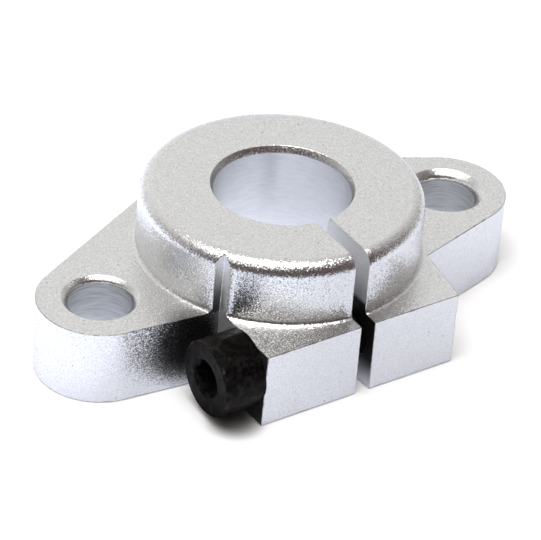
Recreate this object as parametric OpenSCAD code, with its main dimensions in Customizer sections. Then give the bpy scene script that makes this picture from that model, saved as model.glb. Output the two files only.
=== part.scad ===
// Flanged shaft support block.
// One aluminium casting, bored for a shaft, slit through to the front and closed on the
// shaft by a socket head cap screw across the two clamp lugs.
//
// Origin: where the shaft axis meets the base face. +Z runs up the shaft axis, +X along
// the line of the two mounting holes, and the slit opens towards -Y.

/* [Shaft bore] */
// Diameter of the shaft bore
bore_d = 12; // [8:0.5:14]
// Width of the steep chamfer round the upper mouth of the bore
bore_chamfer = 0.3; // [0.1:0.1:1]
// Height of that chamfer
bore_chamfer_h = 0.6; // [0.2:0.1:1.5]

/* [Boss] */
// Outside diameter of the round boss
boss_d = 24.9; // [23:0.1:26.5]
// Height of the boss above the base face
boss_h = 13; // [11:0.5:24]
// Radius of the rounded rim on top of the boss
boss_round = 1.3; // [0.3:0.1:2]
// Radius of the small fillet where the boss meets the flange
boss_foot = 0.4; // [0.1:0.1:0.8]

/* [Flange] */
// Thickness of the flange and of the clamp lugs
flange_t = 7; // [6:0.5:9]
// Distance between the two mounting holes
hole_pitch = 36; // [34:1:44]
// Diameter of the mounting holes
hole_d = 5.5; // [3.4:0.1:6.6]
// Chamfer round the upper mouths of the mounting holes
hole_chamfer = 0.6; // [0.1:0.1:0.9]
// Chamfer round the mouths of the bore and the holes in the base face
base_chamfer = 0.4; // [0.1:0.1:0.9]
// Radius of the rounded ends of the flange
end_r = 5.5; // [5:0.1:7]
// Radius of the flange's rounded back, about the shaft axis
back_r = 13.6; // [13:0.1:16]
// Angle between the left front edge and the line of the holes
left_edge_a = 6; // [2:0.5:8]
// Angle between the right front edge and the line of the holes
right_edge_a = 15.7; // [10:0.1:20]

/* [Clamp lugs] */
// Distance from the shaft axis to the front face of the lugs
lug_front = 14; // [13.6:0.1:17]
// Distance from the shaft axis to the left face, where the screw head seats
lug_left = 10.1; // [9.4:0.1:11]
// Distance from the shaft axis to the front corner of the right face
lug_right = 9.4; // [8:0.1:11]
// Angle by which the right face widens towards the flange
lug_splay = 10.5; // [0:0.5:15]
// Width of the slit
slit_w = 1.4; // [0.8:0.1:2]

/* [Clamp screw] */
// Distance from the shaft axis to the screw axis
screw_set = 10.7; // [10.3:0.1:11]
// Height of the screw axis above the middle of the lugs
screw_rise = 0.5; // [0.4:0.1:0.9]
// Thread diameter
thread_d = 4; // [3:0.5:4.5]
// Length under the head
screw_l = 16; // [12:1:19]
// Diameter of the head
head_d = 6.75; // [6:0.05:7.1]
// Height of the head
head_h = 3.9; // [3.5:0.1:4.5]
// Radius of the rounded rim of the head
head_round = 0.25; // [0.1:0.05:0.5]
// Width of the hexagon socket across its flats
socket_af = 3; // [2:0.5:3.5]
// Depth of the flat-sided part of the socket
socket_depth = 2; // [1.2:0.1:2.4]
// Chamfer at the mouth of the socket
socket_chamfer = 0.15; // [0.05:0.05:0.3]
// Turn of the socket at rest
socket_turn = 28; // [0:1:60]
// Chamfer at the tip of the thread
tip_chamfer = 0.6; // [0.2:0.1:1]
// Radial clearance between the thread and the plain hole in the left lug
lug_hole_play = 0.25; // [0.1:0.05:0.4]
// Radial running clearance between the thread and the tapped hole in the right lug
thread_play = 0.05; // [0.02:0.01:0.1]

/* [Hidden] */
$fn = 96;
cut = 1;                             // how far each cut runs past the faces it opens

bore_r = bore_d / 2;
boss_r = boss_d / 2;
thread_r = thread_d / 2;
hole_x = hole_pitch / 2;
screw_z = flange_t / 2 + screw_rise;
drill_point_a = 59;                  // half the angle of a twist drill's point
drill_chisel_r = 0.1;                // and the radius of its blunt tip

// Flange outline. Its straight edges run a hair inside the tangents of the rounded ends
// and of the back, so that each one meets its arc in a single clean corner.
tangent_ease = 0.001;
end_edge = end_r - tangent_ease;
back_edge = back_r - tangent_ease;
function towards(a) = [cos(a), sin(a)];
left_end = [-hole_x, 0];
right_end = [hole_x, 0];
back_a = acos((back_r - end_r) / hole_x);   // direction in which the right back edge faces
right_a = -90 + right_edge_a;               // and the right front edge

// Where the left front edge lies at a given x
function left_edge_y(x) = -end_edge / cos(left_edge_a) - (hole_x + x) * tan(left_edge_a);
// Corner between the right front edge and the right face of the lug
right_corner_y = (sin(right_edge_a) * (lug_right + lug_front * tan(lug_splay) - hole_x) - end_edge)
    / (cos(right_edge_a) - sin(right_edge_a) * tan(lug_splay));
right_corner = [lug_right + (right_corner_y + lug_front) * tan(lug_splay), right_corner_y];

// Outline of the blank, before the left front corner is cut away
module outline() {
    translate(left_end) circle(r = end_r);
    translate(right_end) circle(r = end_r);
    intersection() {
        circle(r = back_r);
        translate([-back_r, 0]) square([2 * back_r, back_r]);
    }
    polygon([
        left_end,
        [-hole_x - lug_front * tan(left_edge_a), -lug_front],
        [lug_right, -lug_front],
        right_corner,
        right_end + end_edge * towards(right_a),
        right_end + end_edge * towards(back_a),
        back_edge * towards(back_a),
        back_edge * towards(180 - back_a),
        left_end + end_edge * towards(180 - back_a)
    ]);
}

// Half section of the boss, with its rounded rim and the fillet at its foot
module boss_section() {
    square([boss_r - boss_round, boss_h]);
    square([boss_r, boss_h - boss_round]);
    translate([boss_r - boss_round, boss_h - boss_round]) circle(r = boss_round);
    difference() {
        square([boss_r + boss_foot, flange_t + boss_foot]);
        translate([boss_r + boss_foot, flange_t + boss_foot]) circle(r = boss_foot);
    }
}

// Chamfer of this width and height at the mouth of a round hole, widening on past the face
module mouth(r, width, height) {
    translate([0, 0, -cut])
        cylinder(r1 = r + width * (1 + cut / height), r2 = r, h = height + cut);
}

// Round hole along +Z through a thickness t, with this chamfer at its upper mouth
module chamfered_hole(r, t, width, height) {
    translate([0, 0, -cut]) cylinder(r = r, h = t + 2 * cut);
    mouth(r, base_chamfer, base_chamfer);
    translate([0, 0, t]) mirror([0, 0, 1]) mouth(r, width, height);
}

// Room for the screw head: the corner in front of the left front edge is cut away
// straight down, through the side of the boss as well
module head_pocket() {
    outer_x = -hole_x - end_r - cut;
    translate([0, 0, -cut]) linear_extrude(boss_h + 2 * cut)
        polygon([
            [-lug_left, left_edge_y(-lug_left)],
            [outer_x, left_edge_y(outer_x)],
            [outer_x, -lug_front - cut],
            [-lug_left, -lug_front - cut]
        ]);
}

module slit() {
    translate([-slit_w / 2, -lug_front - cut, -cut])
        cube([slit_w, lug_front + cut, boss_h + 2 * cut]);
}

// Turns what is built along +Z to lie along the clamp screw, from the seat of its head
module on_screw_axis() {
    translate([-lug_left, -screw_set, screw_z]) rotate([0, 90, 0]) children();
}

// Plain hole through the left lug, tapped hole on through the right one
module screw_holes() {
    on_screw_axis() {
        translate([0, 0, -cut]) cylinder(r = thread_r + lug_hole_play, h = lug_left + cut);
        cylinder(r = thread_r + thread_play, h = 2 * lug_left + lug_front);
    }
}

module block() {
    color([0.80, 0.81, 0.83])
    difference() {
        union() {
            linear_extrude(flange_t) outline();
            rotate_extrude() boss_section();
        }
        chamfered_hole(bore_r, boss_h, bore_chamfer, bore_chamfer_h);
        for (side = [-1, 1])
            translate([side * hole_x, 0, 0])
                chamfered_hole(hole_d / 2, flange_t, hole_chamfer, hole_chamfer);
        head_pocket();
        slit();
        screw_holes();
    }
}

// Half section of the screw: the head lies below zero, the shank above
module screw_section() {
    head_r = head_d / 2;
    translate([0, -head_h]) square([head_r - head_round, head_h]);
    translate([0, head_round - head_h]) square([head_r, head_h - head_round]);
    translate([head_r - head_round, head_round - head_h]) circle(r = head_round);
    polygon([
        [0, -head_h / 2],
        [thread_r, -head_h / 2],
        [thread_r, screw_l - tip_chamfer],
        [thread_r - tip_chamfer, screw_l],
        [0, screw_l]
    ]);
}

// Hexagon socket from the top of the head down, with the drill point at its bottom
module hex_socket() {
    corner_r = socket_af / 2 / cos(30);
    translate([0, 0, -head_h]) {
        translate([0, 0, -cut]) rotate(socket_turn)
            cylinder(r = corner_r, h = socket_depth + cut, $fn = 6);
        translate([0, 0, -cut])
            cylinder(r1 = corner_r + socket_chamfer + cut, r2 = corner_r - socket_chamfer,
                h = 2 * socket_chamfer + cut);
        translate([0, 0, socket_depth - socket_chamfer])
            cylinder(r1 = socket_af / 2, r2 = drill_chisel_r,
                h = (socket_af / 2 - drill_chisel_r) / tan(drill_point_a));
    }
}

module clamp_screw() {
    color([0.09, 0.09, 0.10])
    on_screw_axis() difference() {
        rotate_extrude() screw_section();
        hex_socket();
    }
}

block();
clamp_screw();
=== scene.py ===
# Shaft support block: a blasted aluminium flange clamp with its black cross screw.
import math

import bmesh
import bpy
from mathutils import Matrix, Vector, kdtree, noise


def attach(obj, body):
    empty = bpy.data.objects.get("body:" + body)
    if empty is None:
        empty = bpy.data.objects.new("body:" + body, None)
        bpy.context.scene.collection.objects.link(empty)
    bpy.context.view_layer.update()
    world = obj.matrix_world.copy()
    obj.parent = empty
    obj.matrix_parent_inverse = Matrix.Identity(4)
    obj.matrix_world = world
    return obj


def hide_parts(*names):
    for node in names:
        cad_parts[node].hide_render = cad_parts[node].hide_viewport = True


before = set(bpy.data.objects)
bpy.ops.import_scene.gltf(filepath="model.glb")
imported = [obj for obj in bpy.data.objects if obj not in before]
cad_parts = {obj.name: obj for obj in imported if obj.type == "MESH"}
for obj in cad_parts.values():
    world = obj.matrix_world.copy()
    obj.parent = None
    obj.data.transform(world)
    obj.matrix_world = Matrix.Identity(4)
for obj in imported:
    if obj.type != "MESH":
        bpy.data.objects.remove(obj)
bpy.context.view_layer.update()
mm = 0.001
black = (0, 0, 0, 1)
print("frame loaded:", ", ".join(sorted(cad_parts)))


# Small helpers that every piece uses

def addPiece(bm, name, materials):
    mesh = bpy.data.meshes.new(name)
    bm.to_mesh(mesh)
    bm.free()
    for material in materials:
        mesh.materials.append(material)
    piece = bpy.data.objects.new(name, mesh)
    bpy.context.scene.collection.objects.link(piece)
    return piece


def mergedCopy(nodeName, mergeDistance, flatAngle):
    # a CAD node's mesh is loose triangles, so its copy is welded and its flat faces made whole
    bm = bmesh.new()
    bm.from_mesh(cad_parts[nodeName].data)
    bmesh.ops.remove_doubles(bm, verts=bm.verts[:], dist=mergeDistance)
    bmesh.ops.dissolve_degenerate(bm, edges=bm.edges[:], dist=mergeDistance)
    bmesh.ops.dissolve_limit(bm, angle_limit=flatAngle, verts=bm.verts[:], edges=bm.edges[:])
    return bm


def addNode(tree, kind, inputs=None, **settings):
    made = tree.nodes.new("ShaderNode" + kind)
    for key, value in settings.items():
        setattr(made, key, value)
    for key, value in (inputs or {}).items():
        if isinstance(value, bpy.types.NodeSocket):
            tree.links.new(value, made.inputs[key])
        else:
            made.inputs[key].default_value = value
    return made


def startMaterial(name):
    # an empty material with its surface shader and the object's own millimetres
    material = bpy.data.materials.new(name)
    material.use_nodes = True
    tree = material.node_tree
    tree.nodes.clear()
    surface = addNode(tree, "BsdfPrincipled")
    output = addNode(tree, "OutputMaterial")
    tree.links.new(surface.outputs["BSDF"], output.inputs["Surface"])
    place = addNode(tree, "TexCoord")
    scaled = addNode(tree, "Mapping", {"Vector": place.outputs["Object"], "Scale": (1000, 1000, 1000)})
    return material, tree, surface, scaled.outputs["Vector"]


def noiseAt(tree, vector, scale, detail=2.0, roughness=0.5):
    made = addNode(tree, "TexNoise", {"Vector": vector, "Scale": scale, "Detail": detail,
                                      "Roughness": roughness})
    return made.outputs["Fac"]


def remap(tree, value, fromLow, fromHigh, toLow, toHigh, smooth=False):
    made = addNode(tree, "MapRange", {"Value": value, "From Min": fromLow, "From Max": fromHigh,
                                      "To Min": toLow, "To Max": toHigh},
                   interpolation_type="SMOOTHSTEP" if smooth else "LINEAR")
    return made.outputs["Result"]


def maths(tree, operation, first, second=0.0):
    return addNode(tree, "Math", {0: first, 1: second}, operation=operation).outputs[0]


def distance(tree, place, point):
    return addNode(tree, "VectorMath", {0: place, 1: point}, operation="DISTANCE").outputs["Value"]


def along(tree, place, way):
    return addNode(tree, "VectorMath", {0: place, 1: way}, operation="DOT_PRODUCT").outputs["Value"]


def blendColour(tree, share, low, high):
    made = addNode(tree, "Mix", {"Factor": share, 6: low, 7: high}, data_type="RGBA")
    return made.outputs[2]


# Finishes of the block

blasted = {
    "metal": (0.94, 0.945, 0.945, 1),
    "metalDull": (0.92, 0.92, 0.915, 1),
    "pit": (0.30, 0.30, 0.31, 1),
    "metallic": 0.93,
    "roughness": (0.23, 0.26),
    "grainPerMm": 8.0,
    "grainTilt": 1.1,
    "grainShade": 0.21,
    "patchPerMm": 0.35,
    # painted shade beside the screw's head: its centre, reach and strength
    "paintedShadeAt": (-13.0, -7.2, 4.6),
    "paintedShadeReach": (2.2, 4.3),
    "paintedShadeStrength": 0.8,
    "bumpPerMm": 9.0,
    "bumpHeight": 0.004,
    "pitsPerMm": 1.35,
    "pitSize": (0.04, 0.14),
    "pitDepth": 3.0,
    "pitShade": 0.6,
    "blotchPerMm": 2.4,
    "blotchShare": 0.2,
    "dimplesPerGrain": 1.15,
}


def blastedFinish(name, look):
    material, tree, surface, place = startMaterial(name)
    # the blasted dimples tilt the surface a little every way
    grain = addNode(tree, "TexNoise", {"Vector": place, "Scale": look["grainPerMm"], "Detail": 2.0,
                                       "Roughness": 0.6}).outputs["Color"]
    tilt = addNode(tree, "VectorMath", {0: grain, 1: (0.5, 0.5, 0.5)}, operation="SUBTRACT").outputs[0]
    tilt = addNode(tree, "VectorMath", {0: tilt, "Scale": look["grainTilt"]}, operation="SCALE").outputs[0]
    flat = addNode(tree, "NewGeometry").outputs["Normal"]
    tilted = addNode(tree, "VectorMath", {0: flat, 1: tilt}, operation="ADD").outputs[0]
    tilted = addNode(tree, "VectorMath", {0: tilted}, operation="NORMALIZE").outputs[0]
    # sparse pits of uneven size
    pits = addNode(tree, "TexVoronoi", {"Vector": place, "Scale": look["pitsPerMm"]})
    pitShare = addNode(tree, "SeparateColor", {"Color": pits.outputs["Color"]}).outputs["Red"]
    pitEdge = remap(tree, pitShare, 0.3, 1.0, *look["pitSize"])
    pitEdge = maths(tree, "MULTIPLY", pitEdge, remap(tree, noiseAt(tree, place, 6.0), 0.3, 0.7, 0.5, 1.5))
    pitMask = remap(tree, maths(tree, "DIVIDE", pits.outputs["Distance"], pitEdge), 0.6, 1.0, 1.0, 0.0)
    height = noiseAt(tree, place, look["bumpPerMm"], 3.0, 0.6)
    height = maths(tree, "SUBTRACT", height, maths(tree, "MULTIPLY", pitMask, look["pitDepth"]))
    bump = addNode(tree, "Bump", {"Height": height, "Distance": look["bumpHeight"] * mm,
                                  "Strength": 1.0, "Normal": tilted})
    tree.links.new(bump.outputs["Normal"], surface.inputs["Normal"])
    patches = noiseAt(tree, place, look["patchPerMm"], 3.0)
    rough = remap(tree, patches, 0.35, 0.65, *look["roughness"])
    tree.links.new(rough, surface.inputs["Roughness"])
    colour = blendColour(tree, patches, look["metal"], look["metalDull"])
    # dimples and faint blotches differ a little in how much they give back
    blotch = noiseAt(tree, place, look["blotchPerMm"], 4.0, 0.65)
    blotch = remap(tree, blotch, 0.3, 0.7, 0.0, look["blotchShare"])
    dimple = noiseAt(tree, place, look["grainPerMm"] * look["dimplesPerGrain"], 2.0, 0.6)
    dimple = remap(tree, dimple, 0.35, 0.65, 0.0, 1.0)
    dull = maths(tree, "MULTIPLY", maths(tree, "ADD", blotch, dimple), look["grainShade"])
    colour = blendColour(tree, dull, colour, black)
    colour = blendColour(tree, maths(tree, "MULTIPLY", pitMask, look["pitShade"]), colour, look["pit"])
    # painted shade: the metal beside the screw's head is darkened, standing in for the black head's
    # reflection and shadow in it
    off = distance(tree, place, look["paintedShadeAt"])
    paintedShadeBesideHead = remap(tree, off, *look["paintedShadeReach"], look["paintedShadeStrength"], 0.0, True)
    colour = blendColour(tree, paintedShadeBesideHead, colour, black)
    tree.links.new(colour, surface.inputs["Base Color"])
    surface.inputs["Metallic"].default_value = look["metallic"]
    return material


cutFinish = {
    "metal": (0.97, 0.975, 0.98, 1),
    "metalDull": (0.94, 0.945, 0.95, 1),
    "metallic": 0.85,
    "roughness": (0.20, 0.30),
    # centre of the painted shade on the seat near the screw's head
    "shadeCentre": (-10.1, -12.5, 2.5),
    "unevenPerMm": 2.2,
    "finePerMm": 12.0,
    "fineShare": 0.12,
    "lineBand": (0.42, 0.62),
}


def cutMetal(name, look, stretch, linesPerMm, lineHeight, lineShade, paintedShades=()):
    # bored, drilled, sawn or milled: fine lines along the tool's travel
    material, tree, surface, place = startMaterial(name)
    # the tool's marks run round the wall, so they are long across and short along the axis
    drawn = addNode(tree, "Mapping", {"Vector": place, "Scale": stretch}).outputs["Vector"]
    uneven = noiseAt(tree, place, look["unevenPerMm"], 3.0)
    line = noiseAt(tree, drawn, linesPerMm, 3.0, 0.6)
    fine = noiseAt(tree, place, look["finePerMm"])
    height = maths(tree, "ADD", line, maths(tree, "MULTIPLY", fine, look["fineShare"]))
    bump = addNode(tree, "Bump", {"Height": height, "Distance": lineHeight * mm, "Strength": 1.0})
    tree.links.new(bump.outputs["Normal"], surface.inputs["Normal"])
    rough = remap(tree, uneven, 0.3, 0.7, *look["roughness"])
    tree.links.new(rough, surface.inputs["Roughness"])
    colour = blendColour(tree, uneven, look["metal"], look["metalDull"])
    dull = maths(tree, "MULTIPLY", remap(tree, line, *look["lineBand"], 0.0, 1.0), lineShade)
    colour = blendColour(tree, dull, colour, black)
    # painted shade: each ramp over the height, or over the distance from the given centre, multiplies its
    # share of darkening
    z = addNode(tree, "SeparateXYZ", {"Vector": place}).outputs["Z"]
    off = distance(tree, place, look["shadeCentre"])
    share = None
    for measure, *ramp in paintedShades:
        ramped = remap(tree, off if measure == "off" else z, *ramp, True)
        share = ramped if share is None else maths(tree, "MULTIPLY", share, ramped)
    if share is not None:
        colour = blendColour(tree, share, colour, black)
    tree.links.new(colour, surface.inputs["Base Color"])
    surface.inputs["Metallic"].default_value = look["metallic"]
    return material


milledFinish = {**cutFinish, "roughness": (0.30, 0.38)}
boredFinish = {**cutFinish, "metallic": 0.95, "roughness": (0.30, 0.36)}
# painted reflection: the drilled metal is a little brighter and bluer, standing in for the table's glow seen
# in the holes
drilledFinish = {**milledFinish, "metal": (0.96, 0.98, 1.0, 1)}
sawnFinish = {**cutFinish, "metallic": 0.70, "roughness": (0.36, 0.46)}
mouthFinish = {**blasted, "grainTilt": 0.5, "bumpHeight": 0.003}
wornFinish = {**blasted, "metal": (0.95, 0.95, 0.95, 1), "metalDull": (0.35, 0.35, 0.36, 1),
              "patchPerMm": 1.3, "grainPerMm": 6.0, "grainTilt": 1.2, "grainShade": 0.5}
# painted shade: the slit's walls are darkened deep between the lugs, fading out near the floor and above
# about 8 mm
slitShade = [("z", 0.1, 3.0, 0.0, 0.97), ("z", 7.6, 8.2, 1.0, 0.0)]
# painted shade: the seat is darkened close round the screw's head, near the lug's lower front
seatShade = [("off", 4.9, 6.2, 0.85, 0.0)]
# painted shade: the pocket's side grows darker towards its foot, towards the screw's head
pocketSideShade = [("z", 7.0, 11.5, 0.85, 0.0)]
drilledMetal = cutMetal("drilledAluminium", drilledFinish, (0.05, 0.05, 1), 10.0, 0.008, 0.27)
blockMetals = {
    "skin": blastedFinish("blastedAluminium", blasted),
    "bored": cutMetal("boredAluminium", boredFinish, (0.10, 0.10, 1), 9.0, 0.006, 0.08),
    "drilled": drilledMetal,
    "sawn": cutMetal("sawnAluminium", sawnFinish, (1, 1, 1), 8.0, 0.012, 0.08, slitShade),
    "worn": blastedFinish("wornEdgeAluminium", wornFinish),
    "seat": cutMetal("seatAluminium", milledFinish, (1, 1, 0.3), 7.0, 0.006, 0.10, seatShade),
    "side": cutMetal("sideAluminium", milledFinish, (1, 1, 0.3), 7.0, 0.006, 0.10, pocketSideShade),
    "mouth": blastedFinish("mouthAluminium", mouthFinish),
}

# The block: the CAD solid with its edges broken

blockShape = {
    "boreR": 6.0,
    "holeX": 18.0,
    "holeR": 2.75,
    "mouthR": 3.35,
    "slitHalf": 0.7,
    "seatX": -10.1,
    "sharpAngle": math.radians(24),
    "roundedFrom": 11.0,
    "roundedTo": 13.4,
    "roundedAngle": math.radians(50),
    "edgeBreak": 0.06,
    "edgeStep": 0.28,
    "edgeNick": 2.4,
    "unevenPerMm": 3.7,
    "nicksPerMm": 1.9,
    "nickShift": (9, 4, 2),
    "nickFrom": 0.25,
    "baseBreak": 1.5,
    "mouthFrom": 6.0,
    "mouthFoot": 6.4,
    "crispFrom": 5.8,
    "crispTo": 6.6,
    "notchFrom": 7.05,
    "mouthMore": (-0.03, 0.2),
    "seatLean": 0.03,
    "seatPlumb": 6.5,
    "pocketFacing": -0.9,
    "pocketX": -7.5,
    "flangeTop": 7.0,
    "cutsX": (-18.0, -12.9, -8.0, -3.0, 3.0, 8.0, 12.9, 18.0),
    "flatArea": 12.0,
}


def zoneOf(face, shape):
    # which finish a face of the block has, from where it lies
    centre = face.calc_center_median() / mm
    upright = abs(face.normal.z) < 0.2
    if upright and math.hypot(centre.x, centre.y) < shape["boreR"] + 0.45:
        return "bored"
    if upright and math.hypot(abs(centre.x) - shape["holeX"], centre.y) < shape["holeR"] + 0.5:
        return "drilled"
    if abs(face.normal.x) > 0.95 and abs(centre.x) < shape["slitHalf"] + 0.05 and centre.y < 0:
        return "sawn"
    reach = math.hypot(abs(centre.x) - shape["holeX"], centre.y)
    if 0.3 < face.normal.z < 0.95 and reach < shape["mouthR"] + 0.3 and centre.z > shape["mouthFrom"]:
        return "mouth"
    if isSeat(face, shape):
        return "seat"
    if isPocketSide(face, shape) and centre.z > shape["flangeTop"]:
        return "side"
    return "skin"


def slotOf(zone):
    return list(blockMetals).index(zone)


def isPocketSide(face, shape):
    facing = abs(face.normal.z) < 0.1 and face.normal.y < shape["pocketFacing"]
    return facing and face.calc_center_median().x < shape["pocketX"] * mm


def isSeat(face, shape):
    return face.normal.x < -0.95 and abs(face.calc_center_median().x / mm - shape["seatX"]) < 0.3


def widenMouth(bm, shape):
    # the right hole is countersunk a little more than the left one
    for centre, more in zip((-shape["holeX"], shape["holeX"]), shape["mouthMore"]):
        for vert in bm.verts:
            x, y, z = vert.co.x / mm - centre, vert.co.y / mm, vert.co.z / mm
            reach = math.hypot(x, y)
            above = z - shape["mouthFoot"]
            share = above / (shape["mouthR"] - shape["holeR"])
            if -0.05 < share < 1.05 and abs(reach - shape["holeR"] - above) < 0.03:
                wider = (reach + more * share) / reach
                vert.co = Vector((centre + x * wider, y * wider, z - more * (1 - share))) * mm


def leanSeat(bm, shape):
    # the face that the screw's head seats on isn't quite upright
    for vert in bm.verts:
        if abs(vert.co.x / mm - shape["seatX"]) < 0.01:
            vert.co.x += shape["seatLean"] * (vert.co.z - shape["seatPlumb"] * mm)


def isSharp(edge, shape):
    middle = (edge.verts[0].co + edge.verts[1].co) / 2 / mm
    onRound = shape["roundedFrom"] < math.hypot(middle.x, middle.y) < shape["roundedTo"]
    least = shape["roundedAngle"] if onRound else shape["sharpAngle"]
    atHole = math.hypot(abs(middle.x) - shape["holeX"], middle.y) < shape["holeR"] + 0.2
    if atHole and shape["crispFrom"] < middle.z < shape["crispTo"]:
        return False        # the lower edge of a hole's mouth stays crisp
    return len(edge.link_faces) == 2 and edge.calc_face_angle(0) > least


def breakEdges(bm, shape):
    # each sharp edge is broken by a small uneven bevel, with nicks in it
    for edge in [edge for edge in bm.edges if isSharp(edge, shape)]:
        near = edge.verts[0]
        for left in range(round(edge.calc_length() / mm / shape["edgeStep"]), 1, -1):
            near = bmesh.utils.edge_split(edge, near, 1 / left)[1]
    sharp = [edge for edge in bm.edges if isSharp(edge, shape)]
    points = sorted({vert for edge in sharp for vert in edge.verts}, key=lambda vert: vert.index)
    chosen = set(sharp)
    tree = kdtree.KDTree(len(points))
    places, plain = [], []
    for vert in points:
        tree.insert(vert.co, len(places))
        places.append(vert.co.copy())
        joined = [edge for edge in vert.link_edges if edge in chosen]
        ways = [(edge.other_vert(vert).co - vert.co).normalized() for edge in joined]
        plain.append(len(ways) == 2 and ways[0].dot(ways[1]) < -0.8)
    tree.balance()
    made = bmesh.ops.bevel(bm, geom=sharp, offset=shape["edgeBreak"] * mm, offset_type="OFFSET",
                           segments=2, profile=0.5, affect="EDGES", material=-1, clamp_overlap=False)
    for face in made["faces"]:
        centre = face.calc_center_median() / mm
        atBore = math.hypot(centre.x, centre.y) < shape["boreR"] + 0.6
        atHole = math.hypot(abs(centre.x) - shape["holeX"], centre.y) < shape["mouthR"] + 0.4
        onBoss = math.hypot(centre.x, centre.y) < shape["roundedTo"]
        atNotch = centre.y < 0 and centre.z > shape["notchFrom"] and onBoss
        zone = "skin" if atBore or atHole or atNotch else "worn"
        if atHole and centre.z > shape["mouthFrom"]:
            zone = "mouth"
        face.material_index = slotOf(zone)
    for vert in {vert for face in made["faces"] for vert in face.verts}:
        where, index, far = tree.find(vert.co)
        if not plain[index] or far > 1.5 * shape["edgeBreak"] * mm:
            continue
        spot = places[index] / mm
        fine = abs(noise.noise(spot * shape["unevenPerMm"]))
        nick = noise.noise(spot * shape["nicksPerMm"] + Vector(shape["nickShift"]))
        nick = max(0.0, nick - shape["nickFrom"])
        wide = 0.7 + 0.8 * fine + shape["edgeNick"] * nick
        if spot.z < 0.001:
            wide *= shape["baseBreak"]
        vert.co = where + (vert.co - where) * wide


def makeBlock(shape):
    bm = mergedCopy("block", 0.002 * mm, math.radians(0.3))
    widenMouth(bm, shape)
    leanSeat(bm, shape)
    # the wide flat faces are cut into simple ones, with no hole in any of them
    for at in shape["cutsX"]:
        bmesh.ops.bisect_plane(bm, geom=bm.verts[:] + bm.edges[:] + bm.faces[:], dist=1e-8,
                               plane_co=Vector((at * mm, 0, 0)), plane_no=Vector((1, 0, 0)))
    # the side of the screw's pocket changes its finish at the flange's top
    for items in (bm.verts, bm.edges, bm.faces):
        items.index_update()
    walls = [face for face in bm.faces if isPocketSide(face, shape)]
    edges = sorted({edge for face in walls for edge in face.edges}, key=lambda edge: edge.index)
    verts = sorted({vert for face in walls for vert in face.verts}, key=lambda vert: vert.index)
    bmesh.ops.bisect_plane(bm, geom=verts + edges + walls, dist=1e-8, plane_no=Vector((0, 0, 1)),
                           plane_co=Vector((0, 0, shape["flangeTop"] * mm)))
    bm.verts.index_update()
    for face in bm.faces:
        face.material_index = slotOf(zoneOf(face, shape))
    breakEdges(bm, shape)
    for face in bm.faces:
        face.smooth = abs(face.normal.z) < 0.9999 and face.calc_area() < shape["flatArea"] * mm * mm
    piece = addPiece(bm, "supportBlock", blockMetals.values())
    piece.data.set_sharp_from_angle(angle=math.radians(42))
    keepFlat = piece.modifiers.new("flat faces stay flat", "WEIGHTED_NORMAL")
    keepFlat.keep_sharp = True
    return piece


block = makeBlock(blockShape)
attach(block, "block")
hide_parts("block")
print("block:", len(block.data.polygons), "faces")

# The thread in the right lug's tapped hole, past the screw's tip

threadShape = {
    "axisY": -10.7,
    "axisZ": 4.0,
    "pitch": 0.7,
    "stepsPerTurn": 40,
}
tapShape = {
    **threadShape,
    "fromX": 6.1,
    "toX": 9.6,
    "wallR": 2.10,
    "crestR": 1.72,
    "footShare": 0.8,
    "runOut": 0.9,
}


def makeTap(shape):
    # one closed ridge is spun along the hole and runs out into the wall at both ends
    pitch, wall = shape["pitch"] * mm, shape["wallR"] * mm
    steps = shape["stepsPerTurn"]
    length = shape["toX"] - shape["fromX"] - shape["footShare"] * shape["pitch"]
    turns = length / shape["pitch"]
    # places along the axis as shares of the pitch
    outline = [(0.0, "wallR"), (shape["footShare"], "wallR"), (0.46, "crestR"), (0.34, "crestR")]
    bm = bmesh.new()
    points = [bm.verts.new((shape["fromX"] * mm + at * pitch, shape["axisY"] * mm,
                            (shape["axisZ"] + shape[radius]) * mm)) for at, radius in outline]
    first = bm.faces.new(points)
    axis = Vector((0, shape["axisY"], shape["axisZ"])) * mm
    bmesh.ops.spin(bm, geom=[first], cent=axis, axis=Vector((1, 0, 0)), angle=2 * math.pi * turns,
                   steps=round(steps * turns), dvec=Vector((pitch / steps, 0, 0)), use_duplicate=False)
    bmesh.ops.recalc_face_normals(bm, faces=bm.faces[:])
    for vert in bm.verts:
        inside = min(vert.co.x / mm - shape["fromX"], shape["toX"] - vert.co.x / mm) / shape["pitch"]
        out = Vector((0, vert.co.y, vert.co.z)) - axis
        radius = wall + (out.length - wall) * min(1.0, inside / shape["runOut"])
        vert.co = Vector((vert.co.x, 0, 0)) + axis + out.normalized() * radius
    return addPiece(bm, "tappedThread", [drilledMetal])


tapThread = makeTap(tapShape)
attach(tapThread, "block")
print("tapped thread:", len(tapThread.data.polygons), "faces")

# The clamp screw: black socket head with a cut thread

screwFinish = {
    "colour": (0.0015, 0.0015, 0.0018, 1),
    "colourBrown": (0.024, 0.017, 0.018, 1),
    "colourGreen": (0.011, 0.013, 0.009, 1),
    "colourWorn": (0.10, 0.080, 0.055, 1),
    "roughness": (0.30, 0.52),
    "specular": 0.07,
    "rimFrom": 3.17,
    "rimX": -13.85,
    "toAxis": (0.0, 10.7, -4.0),
    "patchPerMm": 1.6,
    "otherPerMm": 1.9,
    "otherShift": (7, 3, 5),
    "finePerMm": 3.2,
    "bumpHeight": 0.06,
    "rubbedPerMm": 1.4,
    "rubbedBand": (0.52, 0.66),
    "rimWide": 0.1,
    "rimDeep": 0.15,
}


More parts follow.
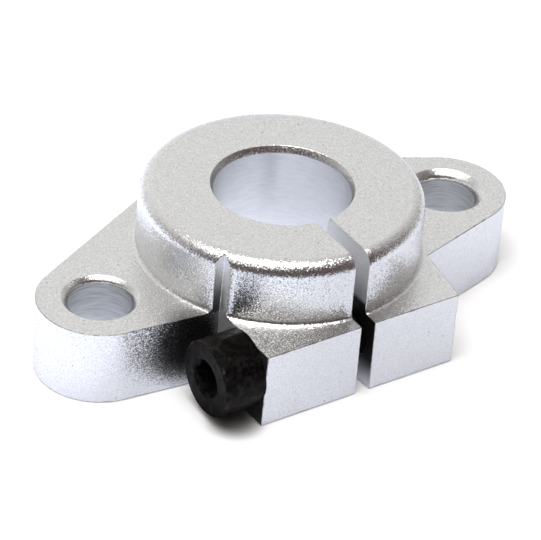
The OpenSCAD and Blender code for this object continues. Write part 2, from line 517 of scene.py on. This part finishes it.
def blackOxide(name, look):
    material, tree, surface, place = startMaterial(name)
    patches = noiseAt(tree, place, look["patchPerMm"], 4.0, 0.65)
    shifted = addNode(tree, "Mapping", {"Vector": place, "Location": look["otherShift"]}).outputs["Vector"]
    other = noiseAt(tree, shifted, look["otherPerMm"], 4.0, 0.65)
    fine = noiseAt(tree, place, look["finePerMm"], 4.0, 0.7)
    brown = remap(tree, patches, 0.46, 0.66, 0.0, 1.0)
    colour = blendColour(tree, brown, look["colour"], look["colourBrown"])
    colour = blendColour(tree, remap(tree, other, 0.5, 0.68, 0.0, 0.8), colour, look["colourGreen"])
    # the black has rubbed off in specks round the rim of the head
    centred = addNode(tree, "Mapping", {"Vector": place, "Location": look["toAxis"]}).outputs["Vector"]
    parts = addNode(tree, "SeparateXYZ", {"Vector": centred}).outputs
    out = addNode(tree, "CombineXYZ", {"Y": parts["Y"], "Z": parts["Z"]}).outputs[0]
    radius = addNode(tree, "VectorMath", {0: out}, operation="LENGTH").outputs["Value"]
    atRim = remap(tree, radius, look["rimFrom"], look["rimFrom"] + look["rimWide"], 0.0, 1.0)
    atFace = remap(tree, parts["X"], look["rimX"] + look["rimDeep"], look["rimX"], 0.0, 1.0)
    rim = maths(tree, "MULTIPLY", atRim, atFace)
    specks = remap(tree, noiseAt(tree, place, look["rubbedPerMm"], 4.0, 0.7), *look["rubbedBand"], 0.0, 1.0)
    rubbed = maths(tree, "MULTIPLY", rim, specks)
    colour = blendColour(tree, rubbed, colour, look["colourWorn"])
    tree.links.new(colour, surface.inputs["Base Color"])
    rough = remap(tree, fine, 0.35, 0.65, *look["roughness"])
    tree.links.new(rough, surface.inputs["Roughness"])
    bump = addNode(tree, "Bump", {"Height": fine, "Distance": look["bumpHeight"] * mm,
                                  "Strength": 1.0})
    tree.links.new(bump.outputs["Normal"], surface.inputs["Normal"])
    surface.inputs["Metallic"].default_value = 0.0
    surface.inputs["Specular IOR Level"].default_value = look["specular"]
    return material


oxide = blackOxide("blackOxideSteel", screwFinish)

screwShape = {
    **threadShape,
    "cutX": -9.4,
    "tipX": 5.9,
    "crestR": 1.985,
    "rootR": 1.58,
    "tipChamfer": 0.6,
}


def makeScrewHead(shape):
    bm = mergedCopy("clamp_screw", 0.002 * mm, math.radians(0.3))
    cut = bmesh.ops.bisect_plane(bm, geom=bm.verts[:] + bm.edges[:] + bm.faces[:], dist=1e-8,
                                 plane_co=Vector((shape["cutX"] * mm, 0, 0)), plane_no=Vector((1, 0, 0)),
                                 clear_outer=True)
    rim = [item for item in cut["geom_cut"] if isinstance(item, bmesh.types.BMEdge)]
    bmesh.ops.contextual_create(bm, geom=rim)
    for face in bm.faces:
        face.smooth = True
    piece = addPiece(bm, "clampScrewHead", [oxide])
    piece.data.set_sharp_from_angle(angle=math.radians(35))
    keepFlat = piece.modifiers.new("flat faces stay flat", "WEIGHTED_NORMAL")
    keepFlat.keep_sharp = True
    return piece


def makeThread(shape):
    # one pitch of the thread's outline, spun along the screw; two spare turns are cut off flat
    pitch = shape["pitch"] * mm
    steps = shape["stepsPerTurn"]
    turns = math.ceil((shape["tipX"] - shape["cutX"]) / shape["pitch"]) + 3
    startX = (shape["cutX"] - 1.5 * shape["pitch"]) * mm
    outline = [(0.0, "rootR"), (0.125, "rootR"), (0.5, "crestR"), (0.625, "crestR"), (1.0, "rootR")]
    bm = bmesh.new()
    points = [bm.verts.new((startX + at * pitch, shape["axisY"] * mm, (shape["axisZ"] + shape[radius]) * mm))
              for at, radius in outline]
    chain = [bm.edges.new(pair) for pair in zip(points, points[1:])]
    axis = Vector((0, shape["axisY"], shape["axisZ"])) * mm
    bmesh.ops.spin(bm, geom=points + chain, cent=axis, axis=Vector((1, 0, 0)), angle=2 * math.pi * turns,
                   steps=steps * turns, dvec=Vector((pitch / steps, 0, 0)), use_duplicate=False)
    bmesh.ops.remove_doubles(bm, verts=bm.verts[:], dist=0.002 * mm)
    for at, outer in ((shape["cutX"], False), (shape["tipX"], True)):
        cut = bmesh.ops.bisect_plane(bm, geom=bm.verts[:] + bm.edges[:] + bm.faces[:], dist=1e-8,
                                     plane_co=Vector((at * mm, 0, 0)), plane_no=Vector((1, 0, 0)),
                                     clear_outer=outer, clear_inner=not outer)
        rim = [item for item in cut["geom_cut"] if isinstance(item, bmesh.types.BMEdge)]
        bmesh.ops.contextual_create(bm, geom=rim)
    # the chamfer at the tip takes the crests down
    for vert in bm.verts:
        beyond = vert.co.x - (shape["tipX"] - shape["tipChamfer"]) * mm
        if beyond > 0:
            out = Vector((0, vert.co.y, vert.co.z)) - axis
            limit = shape["crestR"] * mm - beyond
            if out.length > limit:
                vert.co = Vector((vert.co.x, 0, 0)) + axis + out.normalized() * limit
    bmesh.ops.recalc_face_normals(bm, faces=bm.faces[:])
    for face in bm.faces:
        face.smooth = True
    piece = addPiece(bm, "clampScrewThread", [oxide])
    piece.data.set_sharp_from_angle(angle=math.radians(35))
    return piece


screwHead = makeScrewHead(screwShape)
screwThread = makeThread(screwShape)
for part in (screwHead, screwThread):
    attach(part, "clamp_screw")
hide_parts("clamp_screw")
print("clamp screw:", len(screwHead.data.polygons) + len(screwThread.data.polygons), "faces")

# Studio: white floor, overhead light, dim behind the camera

studio = {
    "towardsCamera": (-0.584, -0.812, 0.0),
    "towardsRight": (0.812, -0.584, 0.0),
    "towardsPanel": (0.271, 0.963, 0.0),
    "floorColour": (0.88, 0.89, 0.93, 1),
    "floorInMetal": (0.84, 0.855, 0.92, 1),
    "floorSeen": (1.12, 1.12, 1.13, 1),
    "shadowSeen": 0.72,
    "glow": (0.88, 0.94, 1.13, 1),
    "glowNear": 0.14,
    "glowAround": 0.67,
    "glowLeft": -0.05,
    "glowRight": 0.25,
    "glowInBore": 0.36,
    "glowReach": (0.018, 0.030),
    "glowAside": (0.0, 0.020),
    "glowLeftFrom": (-0.014, -0.032),
    "boreReach": (0.006, 0.007),
    "headShadow": (-0.0125, -0.0107, 0.0),
    "headReach": (0.0025, 0.0050),
    "headShade": 0.1,
    "seenShadow": (-0.0119, -0.0124, 0.0),
    "seenReach": (0.0006, 0.0033),
    "fadeFrom": 0.032,
    "fadeTo": 0.048,
    "fadeLeft": 0.08,
    "floorHalf": 2.0,
    "panel": (0.90, 0.90, 0.895, 1),
    "room": (0.056, 0.030, 0.026, 1),
    "panelFrom": -0.65,
    "panelTo": 0.97,
    "panelPower": 1.5,
    "panelRise": 1.2,
    "riseFrom": 0.45,
    "riseTo": 0.8,
    "leastLift": 0.02,
    "skirt": (1.05, 1.04, 1.01, 1),
    "skirtNear": 1.08,
    "skirtLeft": -1.1,
    "skirtRight": 0.35,
    "softbox": (5.6, 5.6, 5.55, 1),
    "softboxNear": 0.50,
    "softboxFar": -0.04,
    "softboxLeft": -0.48,
    "softboxRight": 0.32,
    "softboxEdge": 0.12,
    "softboxLeftEdge": 0.20,
}


def makeFloor(look):
    bm = bmesh.new()
    bmesh.ops.create_grid(bm, x_segments=4, y_segments=4, size=look["floorHalf"])
    bmesh.ops.translate(bm, verts=bm.verts, vec=(0, 0, -0.03 * mm))
    material = bpy.data.materials.new("whiteTable")
    material.use_nodes = True
    tree = material.node_tree
    tree.nodes.clear()
    rays = addNode(tree, "LightPath").outputs
    inMetal = maths(tree, "MAXIMUM", rays["Is Glossy Ray"], rays["Is Transmission Ray"])
    # painted light and shadow: in the metal the table is painted bluish and falling off towards the dim side,
    # with a painted shadow under the screw's head
    place = addNode(tree, "TexCoord").outputs["Object"]
    reach = addNode(tree, "VectorMath", {0: place}, operation="LENGTH").outputs["Value"]
    forward = along(tree, place, look["towardsCamera"])
    head = distance(tree, place, look["headShadow"])
    fade = remap(tree, forward, look["fadeFrom"], look["fadeTo"], 1.0, look["fadeLeft"], True)
    fade = maths(tree, "MULTIPLY", fade, remap(tree, head, *look["headReach"], look["headShade"], 1.0, True))
    reflected = blendColour(tree, fade, black, look["floorInMetal"])
    colour = blendColour(tree, inMetal, look["floorColour"], reflected)
    # painted shadow: the camera sees a shadow under the head painted deeper than the lights alone give
    under = distance(tree, place, look["seenShadow"])
    paintedShadowUnderHead = remap(tree, under, *look["seenReach"], look["shadowSeen"], 0.0, True)
    seen = blendColour(tree, paintedShadowUnderHead, look["floorSeen"], black)
    colour = blendColour(tree, rays["Is Camera Ray"], colour, seen)
    paper = addNode(tree, "BsdfDiffuse", {"Color": colour, "Roughness": 1.0})
    # painted light: the metal sees the table glow though it is no lamp, less near the block, to the right and
    # far to the left
    glow = remap(tree, reach, *look["glowReach"], look["glowNear"], look["glowAround"], True)
    aside = along(tree, place, look["towardsRight"])
    glow = maths(tree, "MULTIPLY", glow, remap(tree, aside, *look["glowAside"], 1.0, look["glowRight"], True))
    x = addNode(tree, "SeparateXYZ", {"Vector": place}).outputs["X"]
    glow = maths(tree, "ADD", glow, remap(tree, x, *look["glowLeftFrom"], 0.0, look["glowLeft"], True))
    glow = maths(tree, "MULTIPLY", glow, fade)
    # painted light: the table under the bore glows at least this much in the metal
    glow = maths(tree, "MAXIMUM", glow, remap(tree, reach, *look["boreReach"], look["glowInBore"], 0.0))
    glow = maths(tree, "MULTIPLY", inMetal, glow)
    extra = addNode(tree, "Emission", {"Color": look["glow"], "Strength": glow})
    both = addNode(tree, "AddShader", {0: paper.outputs[0], 1: extra.outputs[0]})
    output = addNode(tree, "OutputMaterial", {"Surface": both.outputs[0]})
    floor = addPiece(bm, "studioFloor", [material])
    return floor


def makeWorld(look):
    world = bpy.data.worlds.new("studioLight")
    bpy.context.scene.world = world
    world.use_nodes = True
    tree = world.node_tree
    tree.nodes.clear()
    direction = addNode(tree, "TexCoord").outputs["Generated"]
    height = addNode(tree, "SeparateXYZ", {"Vector": direction}).outputs["Z"]
    # a pale panel on the far side, and a dim room elsewhere
    panel = along(tree, direction, look["towardsPanel"])
    panel = remap(tree, panel, look["panelFrom"], look["panelTo"], 0.0, 1.0)
    panel = maths(tree, "POWER", panel, look["panelPower"])
    low = blendColour(tree, panel, look["room"], look["panel"])
    rise = remap(tree, height, look["riseFrom"], look["riseTo"], 1.0, look["panelRise"])
    low = addNode(tree, "VectorMath", {0: low, "Scale": rise}, operation="SCALE").outputs[0]
    # a wide softbox overhead, reaching towards the camera
    lift = maths(tree, "MAXIMUM", height, look["leastLift"])
    near = maths(tree, "DIVIDE", along(tree, direction, look["towardsCamera"]), lift)
    across = maths(tree, "DIVIDE", along(tree, direction, look["towardsRight"]), lift)

    def beyond(value, limit, way, edge=look["softboxEdge"]):
        return remap(tree, value, limit - way * edge, limit + way * edge, 0.0, 1.0, True)

    box = maths(tree, "MULTIPLY", beyond(near, look["softboxNear"], -1), beyond(near, look["softboxFar"], 1))
    box = maths(tree, "MULTIPLY", box, beyond(across, look["softboxLeft"], 1, look["softboxLeftEdge"]))
    box = maths(tree, "MULTIPLY", box, beyond(across, look["softboxRight"], -1))
    # and its dimmer skirt
    skirt = maths(tree, "MULTIPLY", beyond(near, look["skirtNear"], -1), beyond(near, look["softboxFar"], 1))
    skirt = maths(tree, "MULTIPLY", skirt, beyond(across, look["skirtLeft"], 1, look["softboxLeftEdge"]))
    skirt = maths(tree, "MULTIPLY", skirt, beyond(across, look["skirtRight"], -1))
    lit = blendColour(tree, box, blendColour(tree, skirt, low, look["skirt"]), look["softbox"])
    seen = addNode(tree, "LightPath").outputs["Is Camera Ray"]
    sky = addNode(tree, "Background", {"Color": blendColour(tree, seen, lit, (1, 1, 1, 1)), "Strength": 1.0})
    addNode(tree, "OutputWorld", {"Surface": sky.outputs[0]})
    return world


makeFloor(studio)
makeWorld(studio)
print("studio ready")

# Camera

cameraPlace = {
    "azimuth": math.radians(-35.718),
    "elevation": math.radians(34.26),
    "roll": math.radians(4.665),
    "aimRight": math.radians(0.1309),
    "aimUp": math.radians(0.3538),
    "distance": 0.2657,
    "lookAt": (0, 0, 0.006),
    "lens": 202.15,
}


def makeCamera(place):
    a, e = place["azimuth"], place["elevation"]
    back = Vector((math.sin(a) * math.cos(e), -math.cos(a) * math.cos(e), math.sin(e)))
    level = Vector((math.cos(a), math.sin(a), 0))
    rise = back.cross(level)
    turn = place["roll"]
    right = level * math.cos(turn) + rise * math.sin(turn)
    up = rise * math.cos(turn) - level * math.sin(turn)
    location = Vector(place["lookAt"]) + back * place["distance"]
    # the aim is a little off the point looked at, in place of lens shift
    back = (back + right * math.tan(place["aimRight"]) + up * math.tan(place["aimUp"])).normalized()
    right = (right - back * right.dot(back)).normalized()
    up = back.cross(right)
    data = bpy.data.cameras.new("productCamera")
    data.lens, data.sensor_width = place["lens"], 36
    data.clip_start, data.clip_end = 0.01, 20
    camera = bpy.data.objects.new("productCamera", data)
    bpy.context.scene.collection.objects.link(camera)
    camera.matrix_world = Matrix.Translation(location) @ Matrix((right, up, back)).transposed().to_4x4()
    bpy.context.scene.camera = camera
    return camera


makeCamera(cameraPlace)
bpy.context.scene.view_settings.view_transform = "Standard"
print("camera ready")
